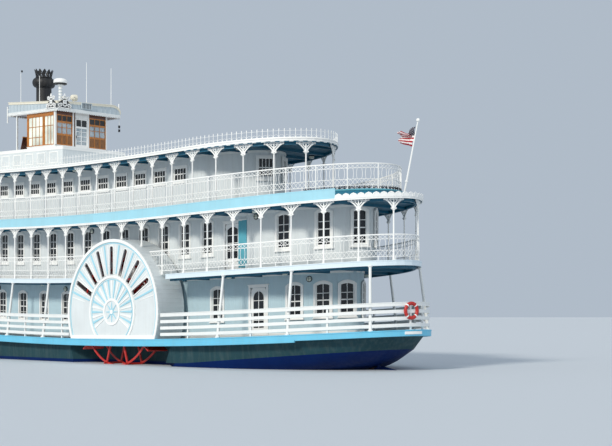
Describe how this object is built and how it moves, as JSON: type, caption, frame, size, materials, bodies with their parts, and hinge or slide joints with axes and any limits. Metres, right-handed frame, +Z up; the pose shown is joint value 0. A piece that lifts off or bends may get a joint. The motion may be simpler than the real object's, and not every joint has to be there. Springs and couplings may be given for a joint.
{
  "type": "side-wheel paddle steamer",
  "caption": "White three-deck paddle steamer with a blue hull, turning side wheels in paddle boxes, galleries with columns, a pilothouse, tall chimneys, a rudder and swinging doors.",
  "frame": {"origin": "on the centreline and the waterline, amidships: half way along the guard of the main deck", "axes": "+X forward to the bow, +Y to port, +Z up"},
  "size_m": [38.3021, 8.868, 17.2197],
  "materials": {
    "hull_paint": "satin",
    "guard_paint": "satin",
    "board_paint": "satin",
    "white_paint": "satin",
    "varnished_wood": "varnished",
    "black_paint": "satin",
    "red_paint": "satin",
    "iron": "satin",
    "flag_cloth": "woven"
  },
  "bodies": {
    "boat": {"hull": "hull_paint", "main_deck": "guard_paint", "second_deck": "board_paint", "second_deck_roof": "white_paint", "third_deck_aft": "board_paint", "third_deck_fore": "board_paint", "top_roof": "white_paint", "main_cabin_port_wall": "white_paint", "main_cabin_starboard_wall": "white_paint", "main_cabin_front_wall": "white_paint", "second_cabin_port_wall": "white_paint", "second_cabin_starboard_wall": "white_paint", "second_cabin_front_wall": "white_paint", "third_cabin_port_wall": "white_paint", "third_cabin_starboard_wall": "white_paint", "third_cabin_front_wall": "white_paint", "port_main_rail_aft": "white_paint", "starboard_main_rail_aft": "white_paint", "port_main_rail_fore": "white_paint", "starboard_main_rail_fore": "white_paint", "port_second_colonnade_aft": "white_paint", "starboard_second_colonnade_aft": "white_paint", "port_second_colonnade_fore": "white_paint", "starboard_second_colonnade_fore": "white_paint", "port_third_rail": "white_paint", "starboard_third_rail": "white_paint", "port_third_columns": "white_paint", "starboard_third_columns": "white_paint", "port_roof_crest": "white_paint", "starboard_roof_crest": "white_paint", "port_paddle_box": "white_paint", "starboard_paddle_box": "white_paint", "port_shaft_bearing": "iron", "starboard_shaft_bearing": "iron", "engine": "iron", "capstan": "iron", "bow_bitts": "iron", "flagstaff": "white_paint", "flag": "flag_cloth", "life_ring": "red_paint", "texas": "white_paint", "pilothouse_port_wall": "varnished_wood", "pilothouse_starboard_wall": "varnished_wood", "pilothouse_aft_wall": "varnished_wood", "pilothouse_front_wall": "varnished_wood", "pilothouse_roof": "white_paint", "pilothouse_porch": "varnished_wood", "steering_wheel": "varnished_wood", "port_chimney": "black_paint", "starboard_chimney": "black_paint", "radar": "white_paint", "searchlights": "iron"},
    "port_wheel": {"port_paddle_wheel": "red_paint"},
    "starboard_wheel": {"starboard_paddle_wheel": "red_paint"},
    "rudder_blade": {"rudder": "hull_paint"},
    "main_port_leaf": {"main_cabin_port_door": "white_paint"},
    "main_starboard_leaf": {"main_cabin_starboard_door": "white_paint"},
    "second_port_leaf": {"second_cabin_port_door": "white_paint"},
    "second_starboard_leaf": {"second_cabin_starboard_door": "white_paint"},
    "pilothouse_leaf": {"pilothouse_door": "white_paint"}
  },
  "joints": [
    {"name": "port_wheel_spin", "type": "hinge", "parent": "boat", "child": "port_wheel", "pos_m": [-4.9, 3.675, 2.35], "axis": [0, 1, 0], "continuous": true},
    {"name": "starboard_wheel_spin", "type": "hinge", "parent": "boat", "child": "starboard_wheel", "pos_m": [-4.9, -3.675, 2.35], "axis": [0, 1, 0], "continuous": true},
    {"name": "rudder_turn", "type": "hinge", "parent": "boat", "child": "rudder_blade", "pos_m": [-16.85, 0, -0.5], "axis": [0, 0, 1], "range_deg": [-35, 35]},
    {"name": "main_port_door_swing", "type": "hinge", "parent": "boat", "child": "main_port_leaf", "pos_m": [-11.68206, 2.26929, 2.3], "axis": [0, 0, -1], "range_deg": [0, 100]},
    {"name": "main_starboard_door_swing", "type": "hinge", "parent": "boat", "child": "main_starboard_leaf", "pos_m": [-11.68206, -2.26929, 2.3], "axis": [0, 0, 1], "range_deg": [0, 100]},
    {"name": "second_port_door_swing", "type": "hinge", "parent": "boat", "child": "second_port_leaf", "pos_m": [-10.43988, 2.57635, 5.1], "axis": [0, 0, -1], "range_deg": [0, 100]},
    {"name": "second_starboard_door_swing", "type": "hinge", "parent": "boat", "child": "second_starboard_leaf", "pos_m": [-10.43988, -2.57635, 5.1], "axis": [0, 0, 1], "range_deg": [0, 100]},
    {"name": "pilothouse_door_swing", "type": "hinge", "parent": "boat", "child": "pilothouse_leaf", "pos_m": [3.3, 0.38, 11.5], "axis": [0, 0, -1], "range_deg": [0, 95]}
  ]
}
